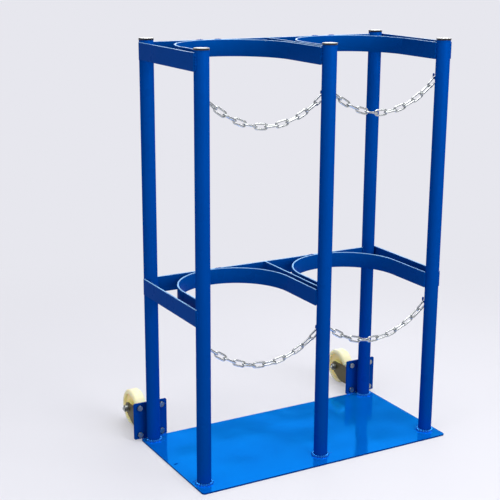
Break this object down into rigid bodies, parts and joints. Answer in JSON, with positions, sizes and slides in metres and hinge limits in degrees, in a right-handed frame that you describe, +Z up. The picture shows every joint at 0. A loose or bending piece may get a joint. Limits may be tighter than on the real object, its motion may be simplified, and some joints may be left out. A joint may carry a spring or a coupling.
{
  "type": "mobile cylinder stand",
  "caption": "Welded blue tube stand on a flat base plate, with bays of bent flat bar and safety chains for gas cylinders, and rear casters it rolls on when tipped back.",
  "frame": {"origin": "centre of the base plate's underside, on the floor", "axes": "+Z up, +X to the right and -Y out of the open front of the bays; the casters are at +Y"},
  "size_m": [0.734, 0.498, 1.008],
  "materials": {
    "blue_enamel": "glossy cobalt blue enamel over welded mild steel",
    "black_plastic": "moulded black polyethylene",
    "zinc": "bright zinc plating",
    "fork_steel": "dark grey passivated pressed steel",
    "wheel_plastic": "moulded cream nylon"
  },
  "bodies": {
    "frame": {"base_plate": "blue_enamel", "post_left_front": "blue_enamel", "post_centre_front": "blue_enamel", "post_right_front": "blue_enamel", "post_left_rear": "blue_enamel", "post_right_rear": "blue_enamel", "foot_welds": "blue_enamel", "upper_rail_left": "blue_enamel", "upper_rail_right": "blue_enamel", "upper_rail_rear": "blue_enamel", "upper_divider": "blue_enamel", "upper_cradle_left": "blue_enamel", "upper_cradle_right": "blue_enamel", "lower_rail_left": "blue_enamel", "lower_rail_right": "blue_enamel", "lower_rail_rear": "blue_enamel", "lower_divider": "blue_enamel", "lower_cradle_left": "blue_enamel", "lower_cradle_right": "blue_enamel", "chain_eyes": "blue_enamel", "chain_hooks": "blue_enamel", "caster_bracket_left": "blue_enamel", "caster_bracket_right": "blue_enamel", "end_caps": "black_plastic", "caster_fork_left": "fork_steel", "caster_fork_right": "fork_steel", "axle_sleeves": "zinc", "axle_bolts": "zinc", "axle_nuts": "zinc", "caster_bolts": "zinc", "caster_nuts": "zinc"},
    "wheel_left": {"wheel_left": "wheel_plastic"},
    "wheel_right": {"wheel_right": "wheel_plastic"},
    "upper_chain_left": {"upper_chain_left": "zinc"},
    "upper_chain_right": {"upper_chain_right": "zinc"},
    "lower_chain_left": {"lower_chain_left": "zinc"},
    "lower_chain_right": {"lower_chain_right": "zinc"}
  },
  "joints": [
    {"name": "wheel_left_spin", "type": "hinge", "parent": "frame", "child": "wheel_left", "pos_m": [-0.322, 0.275, 0.05], "axis": [1, 0, 0], "continuous": true},
    {"name": "wheel_right_spin", "type": "hinge", "parent": "frame", "child": "wheel_right", "pos_m": [0.322, 0.275, 0.05], "axis": [1, 0, 0], "continuous": true},
    {"name": "upper_chain_left_swing", "type": "hinge", "parent": "frame", "child": "upper_chain_left", "pos_m": [-0.154, -0.095, 0.905], "axis": [0.9971, 0, -0.0757], "range_deg": [-25, 90]},
    {"name": "upper_chain_right_swing", "type": "hinge", "parent": "frame", "child": "upper_chain_right", "pos_m": [0.168, -0.095, 0.917], "axis": [1, 0, 0], "range_deg": [-25, 90]},
    {"name": "lower_chain_left_swing", "type": "hinge", "parent": "frame", "child": "lower_chain_left", "pos_m": [-0.154, -0.095, 0.338], "axis": [0.9971, 0, -0.0757], "range_deg": [-25, 90]},
    {"name": "lower_chain_right_swing", "type": "hinge", "parent": "frame", "child": "lower_chain_right", "pos_m": [0.168, -0.095, 0.35], "axis": [1, 0, 0], "range_deg": [-25, 90]}
  ]
}
